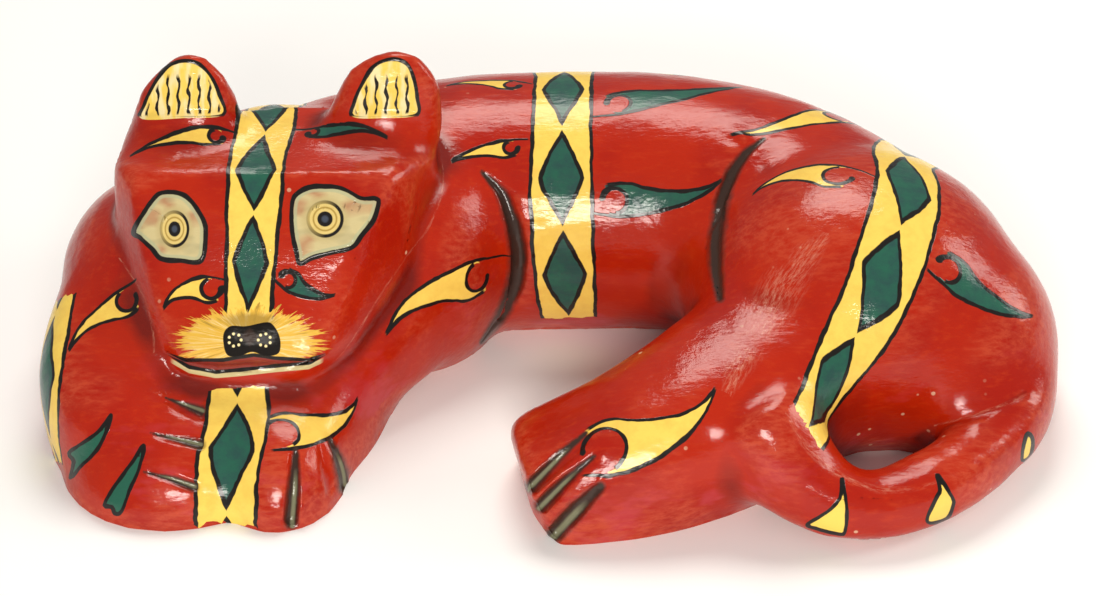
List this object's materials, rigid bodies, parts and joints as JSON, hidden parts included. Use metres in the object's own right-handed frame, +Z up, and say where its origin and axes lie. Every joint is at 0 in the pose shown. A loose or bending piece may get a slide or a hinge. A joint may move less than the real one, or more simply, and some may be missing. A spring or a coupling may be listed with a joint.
{
  "type": "carved wooden cat",
  "caption": "Lacquered wooden cat carved curled up on a flat underside, head raised on its forelegs, a hind leg stretched inward and the tail brought round in front to meet it.",
  "frame": {"origin": "middle of the outline, on the flat underside", "axes": "+X from the head to the rump, -Y to the front that the face looks to, +Z up"},
  "size_m": [0.4202, 0.245, 0.1416],
  "materials": {
    "red_lacquer": "glossy orange-red lacquer with yellow bands, green lozenges and hooked leaves outlined in black"
  },
  "bodies": {
    "root": {"carved_cat": "red_lacquer"}
  },
  "joints": []
}
